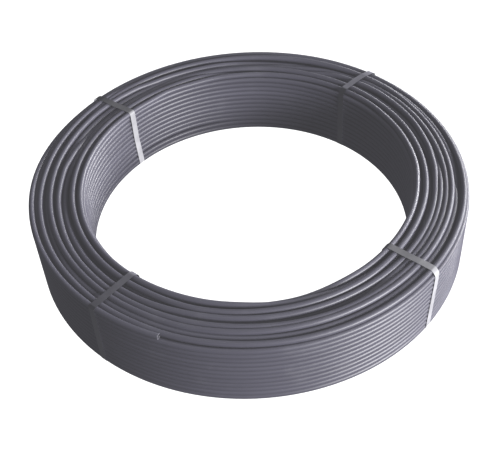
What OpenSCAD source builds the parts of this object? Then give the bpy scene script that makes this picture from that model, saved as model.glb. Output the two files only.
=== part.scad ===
// Coil of plastic heating pipe, wound in nested layers and tied with four straps.
// It lies flat on its straps. Origin: middle of the footprint, on the floor.

/* [Pipe] */
// Outside diameter of the pipe
pipe_d = 16; // [12:1:20]
// Wall thickness of the pipe
pipe_wall = 2; // [1.5:0.1:2.5]

/* [Coil] */
// Outside diameter of the coil
coil_d = 1220; // [1000:10:1400]
// Layers of pipe, counted across the coil's wall; an odd number
layers = 11; // [5:2:13]
// Rows of pipe, counted up the coil's side
rows = 13; // [7:1:15]
// Gap between one row and the next
row_gap = 0.5; // [0.3:0.1:0.8]
// Play between nested layers, added to the distance at which they touch
layer_play = 0.04; // [0.03:0.01:0.2]

/* [Pipe ends] */
// Direction in which the outer end lies, seen from above
outer_end_at = 247; // [240:1:260]
// Arc of the last turn, from where it has climbed onto the top row to the outer end
last_turn_arc = 59; // [40:1:70]
// Arc over which the last turn climbs by one row
climb_arc = 22; // [15:1:30]
// Direction in which the inner end lies, seen from above
inner_end_at = 303; // [295:1:310]

/* [Straps] */
// Width of a strap
strap_w = 19; // [12:1:25]
// Thickness of a strap
strap_t = 0.8; // [0.6:0.1:1.2]
// Directions of the four straps, seen from above
strap_at = [48.5, 139, 229, 318];

/* [Hidden] */
$fn = 96;
pipe_r = pipe_d / 2;
bore_r = pipe_r - pipe_wall;
row_pitch = pipe_d + row_gap;
layer_pitch = sqrt(pow(pipe_d, 2) - pow(row_pitch / 2, 2)) + layer_play;
strap_play = 0.2;                        // between a strap and the pipe under it
coil_z = strap_t + strap_play;           // the coil stands on its straps
core_rise = 2;                           // the solid core fills this far past the pipes' centres
bore_arc = 6;                            // how far the open bore runs into each end
notch_arc = 4;                           // bare arc before the inner end, left by the first turn
notch_play = 0.3;
climb_sides = 24;
climb_rings = 12;
climb_skin = 0.05;                       // the climbing stretch starts and ends inside its neighbours
climb_lap = 0.6;                         // degrees that it runs into the last turn

// Centre of the pipe in layer i, counted inwards from 0, and in row k, counted upwards from 0.
// Every second layer nests half a row higher and has one row fewer.
function nested(i) = i % 2;
function layer_r(i) = coil_d / 2 - pipe_r - i * layer_pitch;
function row_z(i, k) = coil_z + pipe_r + (k + nested(i) / 2) * row_pitch;
// The outermost layer lacks its top row, but for the last turn.
function row_count(i) = i == 0 ? rows - 1 : rows - nested(i);
function bottom_z(i) = row_z(i, 0);
function top_z(i) = row_z(i, row_count(i) - 1);
outer_r = layer_r(0);
inner_r = layer_r(layers - 1);
last_z = row_z(0, rows - 1);
climbed_at = outer_end_at - last_turn_arc;

// Section of the coil: a solid core with the outermost pipes standing round from it
module coil_section() {
    union() {
        polygon(concat(
            [[outer_r + core_rise, bottom_z(0) - core_rise],
             [outer_r + core_rise, top_z(0) + core_rise]],
            [for (i = [1:layers - 2]) [layer_r(i), top_z(i) + core_rise]],
            [[inner_r - core_rise, top_z(layers - 1) + core_rise],
             [inner_r - core_rise, bottom_z(layers - 1) - core_rise]],
            [for (i = [layers - 2:-1:1]) [layer_r(i), bottom_z(i) - core_rise]]));
        for (i = [0:layers - 1]) {
            translate([layer_r(i), bottom_z(i)]) circle(r = pipe_r);
            translate([layer_r(i), top_z(i)]) circle(r = pipe_r);
        }
        for (i = [0, layers - 1], k = [1:row_count(i) - 2])
            translate([layer_r(i), row_z(i, k)]) circle(r = pipe_r);
    }
}

// Arc of round stock on the pipe's centre line
module arc(r, z, section_r, from, angle) {
    rotate_extrude(start = from, angle = angle) translate([r, z]) circle(r = section_r);
}

// The stretch that climbs one row: steep where it leaves the row below, level where it arrives
function climb_z(t) = top_z(0) + row_pitch * t * (2 - t);
function climb_point(t, side) = let (
        a = climbed_at - climb_arc * (1 - t),
        s = 360 * side / climb_sides,
        r = outer_r + (pipe_r - climb_skin) * cos(s))
    [r * cos(a), r * sin(a), climb_z(min(t, 1)) + (pipe_r - climb_skin) * sin(s)];
module climb() {
    n = climb_sides;
    stations = concat([for (j = [0:climb_rings]) j / climb_rings], [1 + climb_lap / climb_arc]);
    last = len(stations) - 1;
    polyhedron(
        points = [for (t = stations, side = [0:n - 1]) climb_point(t, side)],
        faces = concat(
            [[for (k = [0:n - 1]) k]],
            [for (j = [0:last - 1], k = [0:n - 1])
                each [[j * n + k, (j + 1) * n + k, (j + 1) * n + (k + 1) % n],
                      [j * n + k, (j + 1) * n + (k + 1) % n, j * n + (k + 1) % n]]],
            [[for (k = [n - 1:-1:0]) last * n + k]]),
        convexity = 4);
}

module pipe_coil() {
    color([0.27, 0.27, 0.29])
    difference() {
        union() {
            rotate_extrude() coil_section();
            climb();
            arc(outer_r, last_z, pipe_r, climbed_at, last_turn_arc);
        }
        // open bore of the outer end
        arc(outer_r, last_z, bore_r, outer_end_at - bore_arc, bore_arc + 1);
        // gap before the inner end, and its open bore
        arc(inner_r, bottom_z(layers - 1), pipe_r + notch_play / 2, inner_end_at - notch_arc, notch_arc);
        arc(inner_r, bottom_z(layers - 1), bore_r, inner_end_at - 1, bore_arc + 1);
    }
}

// Corners of a strap's path: the centres of the pipes that it is bent round.
// Under the last turn it takes in that turn too, elsewhere it slopes down to the outer layer.
function under_last_turn(at) = at > climbed_at - climb_arc && at < outer_end_at;
function strap_corners(at) = concat(
    [[outer_r, bottom_z(0)]],
    under_last_turn(at) ? [[outer_r, last_z]] : [[outer_r, top_z(0)], [layer_r(2), top_z(2)]],
    [[inner_r, top_z(layers - 1)], [inner_r, bottom_z(layers - 1)]]);

// Convex outline at distance r from the corners, which run anticlockwise
function out_normal(a, b) = [b[1] - a[1], a[0] - b[0]] / norm(b - a);
module rounded(corners, r) {
    n = len(corners);
    polygon([for (i = [0:n - 1])
        let (here = corners[i],
             before = out_normal(corners[(i + n - 1) % n], here),
             after = out_normal(here, corners[(i + 1) % n]))
        each [here + r * before, here + r * after]]);
    for (c = corners) translate(c) circle(r = r);
}

module strap(at) {
    corners = strap_corners(at);
    color([0.45, 0.45, 0.48])
    rotate([0, 0, at])
    translate([0, strap_w / 2, 0])
    rotate([90, 0, 0])
    linear_extrude(strap_w)
    difference() {
        rounded(corners, pipe_r + strap_play + strap_t);
        rounded(corners, pipe_r + strap_play);
    }
}

pipe_coil();
for (i = [0:len(strap_at) - 1])
    strap(strap_at[i]);
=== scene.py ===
"""Looks for a strapped coil of plastic heating pipe: its turns, four straps, floor, lights and camera."""
import math

import bpy
import numpy as np
from mathutils import Matrix, Vector, geometry, noise


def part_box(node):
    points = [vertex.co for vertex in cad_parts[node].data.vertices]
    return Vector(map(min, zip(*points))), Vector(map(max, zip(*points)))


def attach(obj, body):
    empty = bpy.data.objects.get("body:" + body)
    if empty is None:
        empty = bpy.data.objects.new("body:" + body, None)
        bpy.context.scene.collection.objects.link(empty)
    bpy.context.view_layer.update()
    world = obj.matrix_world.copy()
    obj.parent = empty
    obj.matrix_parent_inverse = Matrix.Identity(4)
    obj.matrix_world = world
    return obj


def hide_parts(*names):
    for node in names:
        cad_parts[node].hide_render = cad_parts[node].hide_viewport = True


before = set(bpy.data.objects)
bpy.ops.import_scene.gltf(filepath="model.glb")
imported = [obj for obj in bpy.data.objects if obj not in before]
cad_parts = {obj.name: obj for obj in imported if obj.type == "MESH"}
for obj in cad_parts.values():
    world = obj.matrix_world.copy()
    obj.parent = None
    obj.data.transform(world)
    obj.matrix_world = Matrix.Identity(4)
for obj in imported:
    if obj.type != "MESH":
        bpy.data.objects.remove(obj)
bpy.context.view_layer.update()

# ---------------------------------------------------------------- sizes, in metres and degrees
PIPE_D = 0.016
PIPE_WALL = 0.002
LAYERS = 11                 # counted inwards; the outermost is layer 0
ROWS = 13                   # in an upright layer; a nested one has one fewer
LAYER_PLAY = 0.00004        # between nested layers
OUTER_END_AT = 247
INNER_END_AT = 303

pipe_r = PIPE_D / 2
coil_low, coil_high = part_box("pipe_coil")
row_pitch = (coil_high.z - coil_low.z - PIPE_D) / (ROWS - 1)
layer_pitch = math.sqrt(PIPE_D ** 2 - (row_pitch / 2) ** 2) + LAYER_PLAY
outer_r = coil_high.x - pipe_r
inner_r = outer_r - (LAYERS - 1) * layer_pitch
first_z = coil_low.z + pipe_r
coil_mid = Vector((0, 0, (coil_low.z + coil_high.z) / 2))


def row_count(layer):
    return ROWS - layer % 2


def clamp(t):
    return min(max(t, 0.0), 1.0)


def smooth(t):
    """0 below 0, 1 above 1, eased between."""
    t = clamp(t)
    return t * t * (3 - 2 * t)


def between_keys(keys, angle):
    """Values at an angle, eased between keys (angle, value, value ...)."""
    for low, high in zip(keys, keys[1:]):
        if angle < high[0]:
            t = smooth((angle - low[0]) / (high[0] - low[0]))
            return [a + (b - a) * t for a, b in zip(low[1:], high[1:])]
    return keys[-1][1:]


# ---------------------------------------------------------------- the winding
# The pipe is wound from the innermost layer outwards, anticlockwise seen from above, up one layer
# and down the next. A turn lies level, but for a short stretch in which it steps to the next row.
STEP_ARC = 22
CLIMB_ARC = 45              # the last turn climbs out more slowly
# Where the turns of each layer have stepped to the next row, from the outermost layer inwards
STEP_AT = [188, 204, 138, 5, 100, 185, 168, 80, 108, 320, 303]
# Where the pipe has arrived in each layer from the one inside it, and over how long a stretch
ARRIVE_AT = [200, 300, 150, 90, 115, 110, 180, 125, 120, 205, 303]
ARRIVE_ARC = [22, 50, 22, 45, 22, 60, 22, 32, 22, 55, 0]
SHORTEST_TURN = 40          # the last row of a layer goes at least this far

# How the topmost turn of each layer strays from its place: (angle, outwards, upwards), in millimetres.
# The angles go on past 360 where the turn does.
STRAY = {
    1: ((300, 5, 4), (350, 6, 5), (400, 3, 1), (465, 1, 0), (505, 3, 0), (542, 3, 0)),
    2: ((120, -5, 0), (145, -1, 0), (170, 2, 0), (190, 5, 0), (215, 8, 0), (235, 12, 0), (255, 16, -2),
        (300, 14, -6)),
    3: ((45, 12, 4), (90, 0, 8), (136, 0, 8), (152, 0, -5), (200, 1, -5), (215, 6, 0), (235, 5, 0),
        (255, 9, 0), (300, 13, 0), (345, 13, 0), (367, 10, -6)),
    4: ((78, -15, -4), (105, -15, 0), (120, -13, 0), (129, -5, 0), (137, -2, 0), (145, 0, 0), (190, 4, 0),
        (215, 5, 0), (235, 7, 0), (255, 11, 0), (300, 11, 0), (350, 14, 0), (360, 14, 0), (385, 15, 0),
        (400, 20, -1), (450, 14, -3)),
    5: ((50, 0, -4), (80, -10, -4), (112, -11, 0), (145, -5, 0), (165, -3, 0), (185, -2, -2)),
    6: ((160, -4, 0), (166, -1, 0), (173, 5, 0), (190, 10, 0), (215, 16, 0), (235, 19, 0), (255, 22, 0),
        (300, 27, -1), (350, 27, -2), (385, 26, 0), (402, 30, -5), (418, 26, -9), (435, 14, -13),
        (450, 4, -14), (470, -4, -8)),
    7: ((93, 8, 6), (125, 2, 0), (165, 1, 0), (185, 5, 0), (205, 8, 4), (215, 11, 6), (235, 14, 8),
        (255, 10, 8), (300, 9, 6), (350, 11, 5), (360, 15, 8), (370, 19, 8), (385, 25, 7), (400, 27, 7),
        (412, 26, 5), (424, 22, -3), (434, 12, -9), (440, 6, -12)),
    8: ((86, -5, 0), (105, -5, 0), (120, -8, 0), (137, -8, 0), (146, -5, 0), (170, -3, 0), (190, -2, 0),
        (235, 0, 0), (255, 6, 0), (280, 4, 0), (300, 3, 0), (325, -2, 0), (350, 0, 0), (385, 4, 0),
        (420, 5, 0), (445, 8, 0), (465, 9, 0), (485, 8, 0)),
    9: ((205, -8, 7), (240, -8, 7), (262, -7, 6), (284, 0, 2), (298, 4, -2), (320, 4, -3)),
    10: ((281, 2, -3), (303, 4, -1), (325, 3, 0), (350, 3, 0), (360, 6, 0), (370, 6, 0), (385, 8, -2),
         (400, 12, -3), (422, 13, -4), (440, 9, -3), (457, 3, 0), (470, -1, 0), (480, 1, 0), (489, -4, 0),
         (497, -3, 0), (510, 0, 0)),
}
# Where the turns of the innermost layer are pressed together upwards, and leave a gap above the two lowest:
# (angle, how far, from 0 to 1)
PRESSED_UP = ((88, 0), (112, 1), (132, 1), (152, 0))
# How the turn under the topmost one strays, where that one has moved away, as above
PUSHED_UP = {
    2: ((345, 0, 0), (375, 2, 8), (430, 2, 8), (460, 0, 0)),
    5: ((290, 0, 0), (312, -3, 20), (350, -2, 22), (367, 0, 14), (382, 0, 0)),
}


def wound_stops():
    """The whole route as stops: (angle by which the pipe is there, layer, row, length of the way there)."""
    stops = []
    angle = INNER_END_AT
    for layer in range(LAYERS - 1, -1, -1):
        rows = list(range(row_count(layer)))
        if layer % 2:
            rows.reverse()
        stops.append((angle, layer, rows[0], ARRIVE_ARC[layer]))
        angle += (STEP_AT[layer] - angle - 1) % 360 + 1
        for row in rows[1:]:
            climbs_out = layer == 0 and row == ROWS - 1
            stops.append((angle, layer, row, CLIMB_ARC if climbs_out else STEP_ARC))
            angle += 360
        angle -= 360
        leave = ARRIVE_AT[layer - 1] if layer else OUTER_END_AT
        angle += (leave - angle - SHORTEST_TURN) % 360 + SHORTEST_TURN
    return stops, angle


DRIFT = 0.0014              # the most that a loose turn drifts sideways, either way
SETTLE = 0.0004             # how far a loose turn settles, on average
WAVES = 1.7                 # how many times the drift changes in one turn, roughly
LAYER_APART, ROW_APART = 5.17, 2.31                         # these keep a turn's drift unlike the next one's
SIDEWAYS, DOWN = 0, 40      # and these its drift to the side unlike its drift downwards
LOOSE_IN_WALLS = 0.15       # how freely the turns of the outermost and the innermost layer drift
LOOSE_FROM_FACE = (0.8, 0.5, 0.2)                           # and those between, from the open faces inwards


def wander(layer, row, angle, way):
    """A slow random drift along one turn, between -1 and 1."""
    a = math.radians(angle)
    apart = LAYER_APART * layer + ROW_APART * row + way
    return noise.noise(Vector((WAVES * math.cos(a), WAVES * math.sin(a), apart)))


def looseness(layer, row):
    """How freely a turn drifts: most in the rows that lie open, at the top and the bottom."""
    if layer in (0, LAYERS - 1):
        return LOOSE_IN_WALLS
    from_face = min(row, row_count(layer) - 1 - row)
    return LOOSE_FROM_FACE[min(from_face, 2)]


def place(stop, angle):
    """Distance from the axis and height of a turn's middle at an angle."""
    there, layer, row, _ = stop
    free = looseness(layer, row)
    r = outer_r - layer * layer_pitch + DRIFT * free * wander(layer, row, angle, SIDEWAYS)
    z = first_z + (row + layer % 2 / 2) * row_pitch
    if row:
        z -= SETTLE * free * (1 + wander(layer, row, angle, DOWN))
    angle -= there // 360 * 360
    if layer == LAYERS - 1 and row > 1:
        z += (ROWS - 1 - row) * (row_pitch - PIPE_D) * between_keys(PRESSED_UP, angle % 360)[0]
    out, up = 0, 0
    if layer in STRAY and row == row_count(layer) - 1:
        out, up = between_keys(STRAY[layer], angle)
    if layer in PUSHED_UP and row == row_count(layer) - 2:
        out, up = between_keys(PUSHED_UP[layer], angle)
    return r + out / 1000, z + up / 1000


LOW_ROWS_SEEN = 2           # in the layers between the two walls
TOP_ROWS_SEEN = 3
RING_STEP = 2.4             # degrees from one ring of the mesh to the next


def visible(layer, row):
    """The turns deep inside the coil are left out."""
    in_wall = layer in (0, LAYERS - 1)
    return in_wall or row < LOW_ROWS_SEEN or row >= row_count(layer) - TOP_ROWS_SEEN


def pipe_runs():
    """The stretches of pipe that can be seen, each with its layers, rows and places (angle, r, z)."""
    stops, end = wound_stops()
    count = round((end - stops[0][0]) / RING_STEP)
    runs, run, k = [], None, 0
    for n in range(count + 1):
        angle = stops[0][0] + (end - stops[0][0]) * n / count
        while k + 1 < len(stops) and angle >= stops[k + 1][0] - stops[k + 1][3]:
            k += 1
        here, before = stops[k], stops[max(k - 1, 0)]
        there, layer, row, arc = here
        if not (visible(layer, row) or visible(*before[1:3])):
            run = None
            continue
        if run is None:
            run = {"layers": set(), "rows": set(), "places": []}
            runs.append(run)
        t = smooth((angle - there + arc) / arc) if k else 1.0
        r, z = place(here, angle)
        old_r, old_z = place(before, angle)
        run["layers"].add(layer)
        run["rows"].add(row)
        run["places"].append((angle, old_r + (r - old_r) * t, old_z + (z - old_z) * t))
    return runs


def at(angle, r, z):
    """A place on the winding, as a point."""
    a = math.radians(angle)
    return r * math.cos(a), r * math.sin(a), z


runs = pipe_runs()


# ---------------------------------------------------------------- making pieces
def pick(*objects):
    """Selects these objects alone, and makes the first the active one."""
    bpy.ops.object.select_all(action="DESELECT")
    for thing in objects:
        thing.select_set(True)
    bpy.context.view_layer.objects.active = objects[0]


PIPE_SIDES = 16
ROUND_UNDER = math.radians(40)                              # edges of a pipe that bend less are shaded round


def lay_pipe(name, stretches):
    """Pipe along these stretches of the winding, as one mesh."""
    path = bpy.data.curves.new(name, "CURVE")
    path.dimensions = "3D"
    path.twist_mode = "Z_UP"
    path.bevel_depth = pipe_r
    path.bevel_resolution = PIPE_SIDES // 2 - 2
    for points in stretches:
        line = path.splines.new("POLY")
        line.points.add(len(points) - 1)
        line.points.foreach_set("co", [x for p in points for x in (*p, 1)])
    piece = bpy.data.objects.new(name, path)
    bpy.context.scene.collection.objects.link(piece)
    pick(piece)
    bpy.ops.object.convert(target="MESH")
    measure_pipe(piece, stretches)
    bpy.ops.object.mode_set(mode="EDIT")
    bpy.ops.mesh.select_all(action="SELECT")
    bpy.ops.mesh.fill_holes(sides=0)
    bpy.ops.mesh.select_all(action="SELECT")
    bpy.ops.mesh.normals_make_consistent(inside=False)
    bpy.ops.object.mode_set(mode="OBJECT")
    bpy.ops.object.shade_smooth_by_angle(angle=ROUND_UNDER)
    return piece


def measure_pipe(piece, stretches):
    """A UV map that measures the pipe: metres along it, and turns around it."""
    mesh = piece.data
    along = np.concatenate([np.concatenate([[0], np.cumsum(np.linalg.norm(np.diff(p, axis=0), axis=1))])
                            for p in map(np.array, stretches)])
    ring = np.empty(len(mesh.loops), int)
    mesh.loops.foreach_get("vertex_index", ring)
    side = ring % PIPE_SIDES
    ring = ring // PIPE_SIDES
    face_side = side.reshape(-1, 4)
    wraps = (face_side.max(1) == PIPE_SIDES - 1) & (face_side.min(1) == 0)
    around = np.where(wraps[:, None] & (face_side == 0), PIPE_SIDES, face_side).ravel() / PIPE_SIDES
    layer = mesh.uv_layers[0]
    layer.name = "pipe"
    layer.uv.foreach_set("vector", np.stack([along[ring], around], 1).astype(np.float32).ravel())


def sort_runs():
    """The runs as points, shared out among four pieces by where they lie."""
    names = ("pipe_inner_turns", "pipe_outer_turns", "pipe_top_turns", "pipe_bottom_turns")
    sorted_runs = {name: [] for name in names}
    for run in runs:
        if LAYERS - 1 in run["layers"]:
            name = "pipe_inner_turns"
        elif 0 in run["layers"]:
            name = "pipe_outer_turns"
        else:
            name = "pipe_top_turns" if min(run["rows"]) > ROWS / 2 else "pipe_bottom_turns"
        sorted_runs[name].append([at(*there) for there in run["places"]])
    return sorted_runs


pipe_pieces = [lay_pipe(name, stretches) for name, stretches in sort_runs().items()]
pipe_by_name = {piece.name: piece for piece in pipe_pieces}


CUT_EDGE = 0.0003           # the cut's rounded edges
BORE_CUTS = 4
BORE_CUT = 0.007            # how far each cut sinks the bore


def open_end(piece, angle, r, z, facing):
    """Bores the pipe's cut end: the end face is inset by the wall and sunk along the turn."""
    end = Vector(at(angle, r, z))
    way = facing * Vector((-math.sin(math.radians(angle)), math.cos(math.radians(angle)), 0))
    pick(piece)
    bpy.ops.object.mode_set(mode="EDIT")
    bpy.ops.mesh.select_mode(type="FACE")
    bpy.ops.mesh.select_all(action="DESELECT")
    bpy.ops.object.mode_set(mode="OBJECT")
    # The end face is the one nearest to the pipe's end, of those that look along the pipe
    face = min(piece.data.polygons, key=lambda f: (f.center - end).length - 0.01 * max(f.normal.dot(way), 0))
    face.select = True
    face.material_index = 1
    bpy.ops.object.mode_set(mode="EDIT")
    bpy.ops.mesh.inset(thickness=CUT_EDGE, depth=CUT_EDGE)
    bpy.ops.mesh.inset(thickness=PIPE_WALL - 2 * CUT_EDGE, depth=0)
    bpy.ops.mesh.inset(thickness=CUT_EDGE, depth=-CUT_EDGE)
    for _ in range(BORE_CUTS):
        bpy.ops.mesh.extrude_region_move(TRANSFORM_OT_translate={"value": -BORE_CUT * way})
    bpy.ops.mesh.select_all(action="DESELECT")
    bpy.ops.object.mode_set(mode="OBJECT")


outer_end = max((run["places"][-1] for run in runs), key=lambda there: there[0])
inner_end = min((run["places"][0] for run in runs), key=lambda there: there[0])
open_end(pipe_by_name["pipe_outer_turns"], *outer_end, 1)
open_end(pipe_by_name["pipe_inner_turns"], *inner_end, -1)

# ---------------------------------------------------------------- straps
# Each strap: the angles at which it stands at the outer bottom, the outer top, halfway across the top, the
# inner top and the inner bottom, and how far it bulges from the inner wall
STRAPS = {
    "strap_1": ((47.6, 47.6, 48.6, 49.1, 48.9), 0),
    "strap_2": ((138.7, 138.7, 138.7, 138.1, 136.9), 0),
    "strap_3": ((228.7, 228.7, 228.9, 229.1, 229.0), 0.002),
    "strap_4": ((317.5, 318.7, 318.3, 318.3, 318.5), 0.003),
}
STRAP_W = 0.019
STRAP_T = 0.0005
STRAP_GAP = 0.0001          # between a strap and the pipe under it
STRAP_BEND = 0.020          # the radius a stiff strap bends to where no turn fills the corner
STRAP_SINK = 0.005          # how far it lies below the height of a full corner there
STRAP_EDGE = 0.00015        # the width of its softened edges
STRAP_FACETS = 0.2          # radians from one facet to the next in its bends
STRAP_CORNER = math.radians(60)                             # an edge that bends more than this is softened
STRAP_ROUND_UNDER = math.radians(15)                        # and one that bends less than this shaded round
TWIST_FROM = 0.0625         # how far up the inner wall a strap begins to turn to its upper place
TWIST_OVER = 0.625          # and over how much of the height it does so


def stiff_corner(mid_r, mid_z, start):
    """The quarter round in which a stiff strap bends, every 15 degrees."""
    bend = STRAP_BEND - pipe_r
    angles = [math.radians(start + part) for part in range(0, 91, 15)]
    return [(mid_r + bend * math.cos(a), mid_z + bend * math.sin(a)) for a in angles]


def turns_at(angle):
    """The middles of the turns that pass an angle, as (r, z)."""
    passing = []
    for run in runs:
        for there, r, z in run["places"]:
            if abs((there - angle + 180) % 360 - 180) < RING_STEP:
                passing.append((r, z))
    return passing


def tied_round(angle, bulge):
    """The outermost of what a strap is tied round, as (r, z) in order."""
    bend_z = first_z + (ROWS - 1) * row_pitch - STRAP_BEND + pipe_r
    tied = turns_at(angle)
    tied += stiff_corner(outer_r + pipe_r - STRAP_BEND, bend_z - STRAP_SINK, 0)
    tied += stiff_corner(inner_r - pipe_r + STRAP_BEND - bulge, bend_z, 90)
    hull = [Vector(tied[n]) for n in geometry.convex_hull_2d([Vector(p) for p in tied])]
    area = sum(a.x * b.y - b.x * a.y for a, b in zip(hull, hull[1:] + hull[:1]))
    if area < 0:
        hull.reverse()
    return hull


def strap_path(angle, bulge):
    """The strap's way round the turns, as (r, z): straight from one high turn to the next, and round each."""
    reach = pipe_r + STRAP_GAP
    hull = tied_round(angle, bulge)
    path = []
    for before, here, after in zip(hull[-1:] + hull[:-1], hull, hull[1:] + hull[:1]):
        start = math.atan2(here.y - before.y, here.x - before.x) - math.pi / 2
        stop = math.atan2(after.y - here.y, after.x - here.x) - math.pi / 2
        turn = (stop - start) % (2 * math.pi)
        if turn < 0.001 or turn > 6:                        # hardly a bend at all, one way or the other
            continue
        steps = max(1, round(turn / STRAP_FACETS))
        for n in range(steps + 1):
            a = start + turn * n / steps
            path.append((here.x + reach * math.cos(a), here.y + reach * math.sin(a)))
    return path


def strap_lean(corners, r, z):
    """The angle at which the strap stands at one point of its way."""
    outer_bottom, outer_top, middle, inner_top, inner_bottom = corners
    across = (outer_r - r) / (outer_r - inner_r)
    height = z / (2 * coil_mid.z)
    if r > outer_r:
        return outer_bottom + (outer_top - outer_bottom) * smooth(height)
    if r <= inner_r:
        return inner_bottom + (inner_top - inner_bottom) * smooth((height - TWIST_FROM) / TWIST_OVER)
    if z > coil_mid.z:
        t = 2 * clamp(across)
        return outer_top + (middle - outer_top) * smooth(t) + (inner_top - middle) * smooth(t - 1)
    return outer_bottom + (inner_bottom - outer_bottom) * clamp(across)


def stand_up(piece, corners):
    """Turns a strap from the flat drawing of its way, as (r, z, aside), to where it stands on the coil."""
    for vertex in piece.data.vertices:
        r, z, aside = vertex.co
        a = math.radians(strap_lean(corners, r, z))
        outwards, along = Vector((math.cos(a), math.sin(a), 0)), Vector((-math.sin(a), math.cos(a), 0))
        vertex.co = r * outwards - aside * along + Vector((0, 0, z))


def thicken(piece):
    """Gives a strap its thickness, and softens its edges."""
    thick = piece.modifiers.new("thickness", "SOLIDIFY")
    thick.thickness = STRAP_T
    thick.offset = 1
    edge = piece.modifiers.new("edges", "BEVEL")
    edge.width = STRAP_EDGE
    edge.segments = 2
    edge.limit_method = "ANGLE"
    edge.angle_limit = STRAP_CORNER
    bpy.ops.object.modifier_apply(modifier="thickness")
    bpy.ops.object.modifier_apply(modifier="edges")
    bpy.ops.object.shade_smooth_by_angle(angle=STRAP_ROUND_UNDER)


def lay_strap(name, corners, bulge):
    """One flat strap."""
    path = bpy.data.curves.new(name + "_band", "CURVE")
    path.dimensions = "2D"
    path.fill_mode = "NONE"
    path.extrude = STRAP_W / 2
    points = strap_path(sum(corners[1:4]) / 3, bulge)
    line = path.splines.new("POLY")
    line.points.add(len(points) - 1)
    line.points.foreach_set("co", [x for p in points for x in (*p, 0, 1)])
    line.use_cyclic_u = True
    piece = bpy.data.objects.new(name + "_band", path)
    bpy.context.scene.collection.objects.link(piece)
    pick(piece)
    bpy.ops.object.convert(target="MESH")
    bpy.ops.object.mode_set(mode="EDIT")
    bpy.ops.mesh.select_all(action="SELECT")
    bpy.ops.mesh.subdivide(number_cuts=1)
    bpy.ops.mesh.normals_make_consistent(inside=False)
    bpy.ops.object.mode_set(mode="OBJECT")
    stand_up(piece, corners)
    thicken(piece)
    return piece


strap_pieces = {name: lay_strap(name, *shape) for name, shape in STRAPS.items()}


# ---------------------------------------------------------------- materials
PIPE_DARK = (0.044, 0.042, 0.0595, 1)
PIPE_LIGHT = (0.056, 0.054, 0.075, 1)
PIPE_DUSTY = (0.095, 0.093, 0.112, 1)
PIPE_ROUGHNESS = 0.40
PIPE_RELIEF = 0.00008
STRAP_DARK = (0.096, 0.095, 0.103, 1)
STRAP_LIGHT = (0.122, 0.121, 0.129, 1)
STRAP_ROUGHNESS = 0.30
STRAP_RELIEF = 0.00006
CUT_DARK = (0.070, 0.068, 0.085, 1)
CUT_LIGHT = (0.110, 0.108, 0.130, 1)
CUT_ROUGHNESS = 0.45
CUT_RELIEF = 0.0001


class Number:
    """A number in a material, which sums can be written with."""

    def __init__(self, finish, socket):
        self.finish, self.socket = finish, socket

    def sum(self, operation, *parts):
        return self.finish.node("ShaderNodeMath", {"operation": operation}, dict(enumerate(parts)))

    def __add__(self, other):
        return self.sum("ADD", self, other)

    def __sub__(self, other):
        return self.sum("SUBTRACT", self, other)

    def __rsub__(self, other):
        return self.sum("SUBTRACT", other, self)

    def __mul__(self, other):
        return self.sum("MULTIPLY", self, other)

    def clear_of(self, low, high):
        """0 below low, 1 above high, eased between."""
        inputs = {"Value": self, "From Min": low, "From Max": high}
        return self.finish.node("ShaderNodeMapRange", {"interpolation_type": "SMOOTHSTEP"}, inputs)

    __radd__, __rmul__ = __add__, __mul__


class Finish:
    """A material, with one way to add any node to it."""

    def __init__(self, name, **constants):
        self.material = bpy.data.materials.new(name)
        self.material.use_nodes = True
        self.shader = self.material.node_tree.nodes["Principled BSDF"]
        for socket, value in constants.items():
            self.shader.inputs[socket.replace("_", " ")].default_value = value

    def node(self, kind, settings, inputs, output=0):
        made = self.material.node_tree.nodes.new(kind)
        for name, value in settings.items():
            setattr(made, name, value)
        for name, value in inputs.items():
            self.feed(made.inputs[name], value)
        return Number(self, made.outputs[output])

    def feed(self, socket, value):
        if isinstance(value, Number):
            self.material.node_tree.links.new(value.socket, socket)
        else:
            socket.default_value = value

    def set(self, **values):
        for socket, value in values.items():
            self.feed(self.shader.inputs[socket.replace("_", " ")], value)

    def noise(self, vector, scale, detail=2, roughness=0.5):
        inputs = {"Vector": vector, "Scale": scale, "Detail": detail, "Roughness": roughness}
        return self.node("ShaderNodeTexNoise", {}, inputs, "Fac")

    def mix_colour(self, amount, first, second):
        made = self.material.node_tree.nodes.new("ShaderNodeMix")
        made.data_type = "RGBA"
        self.feed(made.inputs[0], amount)
        self.feed(made.inputs[6], first)
        self.feed(made.inputs[7], second)
        return Number(self, made.outputs[2])

    def bump(self, height, distance, strength=1.0):
        inputs = {"Height": height, "Distance": distance, "Strength": strength}
        self.set(Normal=self.node("ShaderNodeBump", {}, inputs))


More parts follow.
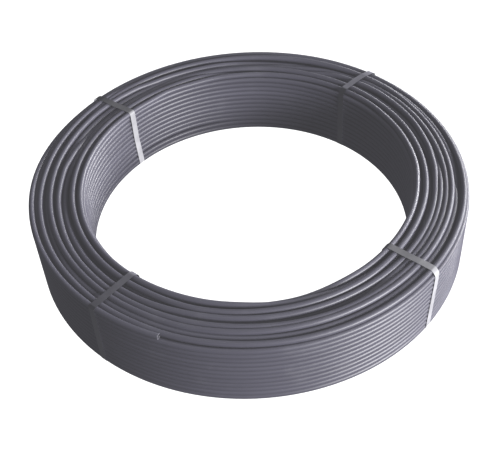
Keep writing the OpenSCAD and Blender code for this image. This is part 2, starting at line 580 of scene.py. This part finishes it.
def pipe_plastic():
    """Satin charcoal plastic, with faint streaks along the pipe and light handling scuffs."""
    skin = Finish("pipe plastic", IOR=1.5)
    ruler = skin.node("ShaderNodeUVMap", {"uv_map": "pipe"}, {})
    along = skin.node("ShaderNodeSeparateXYZ", {}, {0: ruler}, 0)
    around = skin.node("ShaderNodeSeparateXYZ", {}, {0: ruler}, 1) * (2 * math.pi)
    side, rise = around.sum("COSINE", around), around.sum("SINE", around)

    def on_pipe(per_metre, round_it):
        """Places on the pipe, so many noise cells a metre along it and so many from its middle out."""
        parts = {0: along * per_metre, 1: side * round_it, 2: rise * round_it}
        return skin.node("ShaderNodeCombineXYZ", {}, parts)

    # Long streaks, and a tone that drifts slowly from one length of pipe to the next
    streaks = skin.noise(on_pipe(5, 4.5), 1.0, 3)
    drift = skin.noise(on_pipe(0.7, 0.3), 1.0, 2)
    tone = streaks * 0.5 + drift * 0.5
    colour = skin.mix_colour(tone.clear_of(0.35, 0.65), PIPE_DARK, PIPE_LIGHT)
    # Dust in soft patches over the whole coil, and short scuffs
    object_place = skin.node("ShaderNodeTexCoord", {}, {}, "Object")
    dust = skin.noise(object_place, 9.0, 4, 0.6).clear_of(0.52, 0.75)
    scuffs = skin.noise(on_pipe(60, 9), 1.0, 2).clear_of(0.66, 0.74)
    colour = skin.mix_colour(dust * 0.25 + scuffs * 0.3, colour, PIPE_DUSTY)
    rough = streaks * 0.10 + dust * 0.06 + scuffs * 0.12 + PIPE_ROUGHNESS
    skin.set(Base_Color=colour, Roughness=rough)
    # The streaks are slightly raised, under a fine grain
    grain = skin.noise(on_pipe(400, 26), 1.0, 2)
    skin.bump(streaks * 0.6 + grain * 0.15, PIPE_RELIEF)
    return skin.material


def strapping():
    """Satin grey plastic strapping, a little blotchy, with a fine embossed grain."""
    band = Finish("strapping", IOR=1.46)
    object_place = band.node("ShaderNodeTexCoord", {}, {}, "Object")
    blotches = band.noise(object_place, 30.0, 3)
    fine = band.noise(object_place, 900.0, 2)
    colour = band.mix_colour(blotches.clear_of(0.3, 0.7), STRAP_DARK, STRAP_LIGHT)
    band.set(Base_Color=colour, Roughness=blotches * 0.12 + STRAP_ROUGHNESS)
    band.bump(fine, STRAP_RELIEF)
    return band.material


def cut_plastic():
    """The paler wall of the pipe where it is cut, a little smeared by the cutter."""
    cut = Finish("cut plastic", IOR=1.5)
    object_place = cut.node("ShaderNodeTexCoord", {}, {}, "Object")
    smears = cut.noise(object_place, 700.0, 3)
    cut.set(Base_Color=cut.mix_colour(smears, CUT_DARK, CUT_LIGHT), Roughness=smears * 0.2 + CUT_ROUGHNESS)
    cut.bump(smears, CUT_RELIEF)
    return cut.material


plastic, cut = pipe_plastic(), cut_plastic()
for piece in pipe_pieces:
    piece.data.materials.append(plastic)
    piece.data.materials.append(cut)
    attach(piece, "root")
    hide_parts("pipe_coil")
band_plastic = strapping()
for node, piece in strap_pieces.items():
    piece.data.materials.append(band_plastic)
    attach(piece, "root")
    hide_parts(node)

# ---------------------------------------------------------------- floor, light and camera
FLOOR_SIZE = 30
PAPER_WHITE = (0.9, 0.9, 0.9, 1)

bpy.ops.object.select_all(action="DESELECT")
bpy.ops.mesh.primitive_plane_add(size=FLOOR_SIZE)
floor = bpy.context.object
floor.name = "studio_floor"
paper = Finish("paper", Base_Color=PAPER_WHITE, Roughness=1.0)
floor.data.materials.append(paper.material)
floor.visible_diffuse = False
floor.visible_glossy = False

LIGHT_DISTANCE = 6
WHITE = (1, 1, 1)
COOL = (0.97, 0.96, 1.08)


def softbox(name, azimuth, elevation, size, power, tint):
    """A large soft light in a direction from the coil, turned towards it."""
    lamp = bpy.data.lights.new(name, "AREA")
    lamp.shape = "RECTANGLE"
    lamp.size, lamp.size_y = size
    lamp.energy = power
    lamp.color = tint
    light = bpy.data.objects.new(name, lamp)
    bpy.context.scene.collection.objects.link(light)
    a, e = math.radians(azimuth), math.radians(elevation)
    way = Vector((math.cos(a) * math.cos(e), math.sin(a) * math.cos(e), math.sin(e)))
    light.location = coil_mid + LIGHT_DISTANCE * way
    light.rotation_euler = (coil_mid - light.location).to_track_quat("-Z", "Y").to_euler()
    return light


def group(name, things):
    """Pieces that lights are linked to, as a collection."""
    made = bpy.data.collections.new(name)
    for thing in things:
        made.objects.link(thing)
    return made


def shine_only_on(light, receivers, blockers):
    """The light falls on the first group alone, and only the second stands in its way."""
    light.light_linking.receiver_collection = receivers
    light.light_linking.blocker_collection = blockers


pipes = group("pipes", pipe_pieces)
inner_pipe = group("inner_pipe", [pipe_by_name["pipe_inner_turns"]])
coil = group("pipes_and_straps", [*pipe_pieces, *strap_pieces.values()])
left_strap = group("left_strap", [strap_pieces["strap_2"]])
right_strap = group("right_strap", [strap_pieces["strap_4"]])
dim_straps = group("dim_straps", [strap_pieces["strap_1"], strap_pieces["strap_3"]])
ground = group("ground", [floor])

# Each light: its direction from the coil, its size, power and colour, what it falls on and what stops it
LIGHTS = (
    ("key_light", -38, 16, (3.4, 1.6), 940, WHITE, pipes, coil),
    ("side_light", 31, 15, (3.6, 1.8), 390, WHITE, pipes, coil),
    ("inner_light", 33, 15, (2.6, 1.4), 230, WHITE, inner_pipe, coil),
    ("low_light", 10, 3, (2.2, 0.6), 240, WHITE, pipes, coil),
    ("corner_light", 62, 12, (1.6, 1.2), 90, WHITE, pipes, coil),
    ("top_light", 0, 90, (5, 5), 65, WHITE, pipes, coil),
    ("left_strap_light", -41, 7.5, (2.4, 1.0), 2700, WHITE, left_strap, left_strap),
    ("right_strap_light", -41, 9.5, (2.4, 1.0), 2700, WHITE, right_strap, coil),
    ("dim_strap_light", 47, 10.5, (2.4, 1.0), 1350, COOL, dim_straps, dim_straps),
)
for *shape, receivers, blockers in LIGHTS:
    shine_only_on(softbox(*shape), receivers, blockers)

FLOOR_POWER = 4.5
sun = bpy.data.lights.new("floor_light", "SUN")
sun.energy = FLOOR_POWER
overhead = bpy.data.objects.new("floor_light", sun)
overhead.location = (0, 0, LIGHT_DISTANCE)
bpy.context.scene.collection.objects.link(overhead)
shine_only_on(overhead, ground, ground)

AIR_COLOUR = (0.96, 0.97, 1.10, 1)
AIR_STRENGTH = 0.115
world = bpy.data.worlds.new("studio")
world.use_nodes = True
air = world.node_tree.nodes["Background"]
air.inputs["Color"].default_value = AIR_COLOUR
air.inputs["Strength"].default_value = AIR_STRENGTH
bpy.context.scene.world = world

BLACK_LEVEL = (-0.043, -0.0425, -0.046)                     # lifts the darkest tones to a flat dark grey
look = bpy.context.scene.view_settings
look.view_transform = "Standard"
look.use_curve_mapping = True
look.curve_mapping.black_level = BLACK_LEVEL
look.curve_mapping.update()

# The camera stands in front of the coil and looks down on it. Distances are in radii of the coil.
CAMERA_DISTANCE = 4.377
CAMERA_HEIGHT_ANGLE = 43.627
LOOK_TO_RIGHT = -0.078
LOOK_DOWN = 45.159
ROLL = -3.485
LENS = 66.89                # in millimetres
SENSOR = 36


def place_camera():
    camera = bpy.data.objects.new("camera", bpy.data.cameras.new("camera"))
    bpy.context.scene.collection.objects.link(camera)
    camera.data.lens = LENS
    camera.data.sensor_width = SENSOR
    rise, side, down, roll = map(math.radians, (CAMERA_HEIGHT_ANGLE, LOOK_TO_RIGHT, LOOK_DOWN, ROLL))
    reach = CAMERA_DISTANCE * coil_high.x
    forward = Vector((math.sin(side) * math.cos(down), math.cos(side) * math.cos(down), -math.sin(down)))
    right = forward.cross(Vector((0, 0, 1))).normalized()
    up = right.cross(forward)
    right, up = (math.cos(roll) * right + math.sin(roll) * up, math.cos(roll) * up - math.sin(roll) * right)
    turn = Matrix((right, up, -forward)).transposed()
    eye = coil_mid + reach * Vector((0, -math.cos(rise), math.sin(rise)))
    camera.matrix_world = Matrix.Translation(eye) @ turn.to_4x4()
    bpy.context.scene.camera = camera


place_camera()
